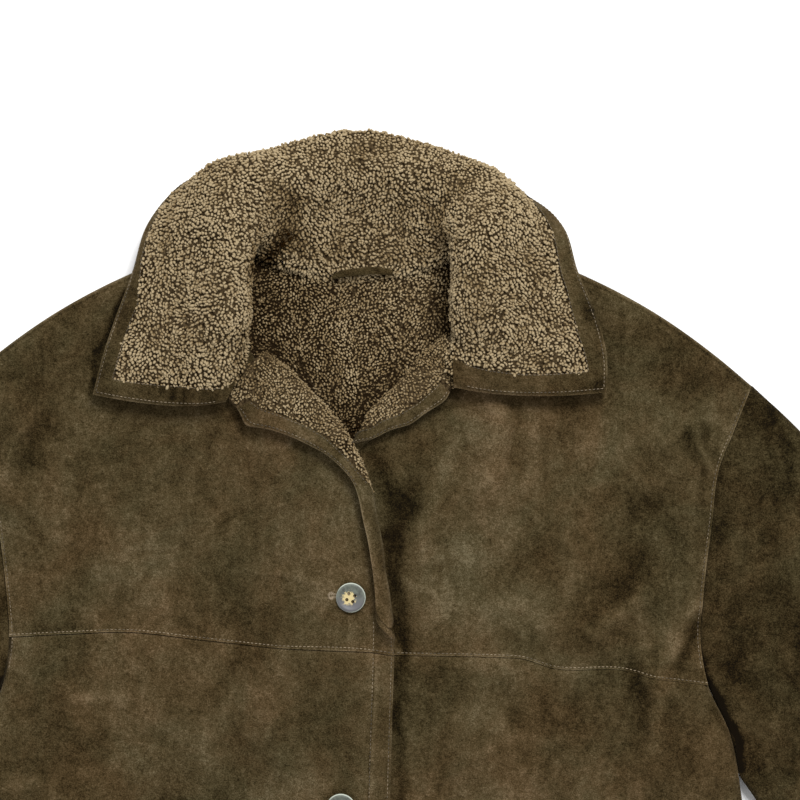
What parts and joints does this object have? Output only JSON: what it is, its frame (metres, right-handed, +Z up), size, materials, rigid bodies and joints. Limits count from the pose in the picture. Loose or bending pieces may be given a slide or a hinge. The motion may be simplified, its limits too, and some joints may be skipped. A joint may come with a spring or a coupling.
{
  "type": "shearling coat",
  "caption": "Oversized button-front shearling coat laid flat, suede outside and curly fleece inside, with a wide collar turned out over the shoulders.",
  "frame": {"origin": "middle of the coat on the surface that it lies on, under the back panel", "axes": "+X to the wearer's left, +Y from hem to collar, +Z up from the surface to the front of the coat"},
  "size_m": [1.136, 1.0063, 0.0619],
  "materials": {
    "suede": "matt napped suede, mottled dark olive brown",
    "suede_strip": "matt suede edge strip, topstitched",
    "fleece": "curly tan lambskin fleece",
    "horn": "polished grey horn with a cream patch"
  },
  "bodies": {
    "root": {"back": "suede", "front_upper_over": "suede", "front_upper_under": "suede", "front_lower_over": "suede", "front_lower_under": "suede", "sleeve_over_front": "suede", "sleeve_over_back": "suede", "sleeve_under_front": "suede", "sleeve_under_back": "suede", "collar": "fleece", "collar_strip": "suede_strip", "front_strip_over": "suede_strip", "front_strip_under": "suede_strip", "button_1": "horn", "button_2": "horn", "button_3": "horn", "button_4": "horn", "hanger_loop": "suede_strip"}
  },
  "joints": []
}
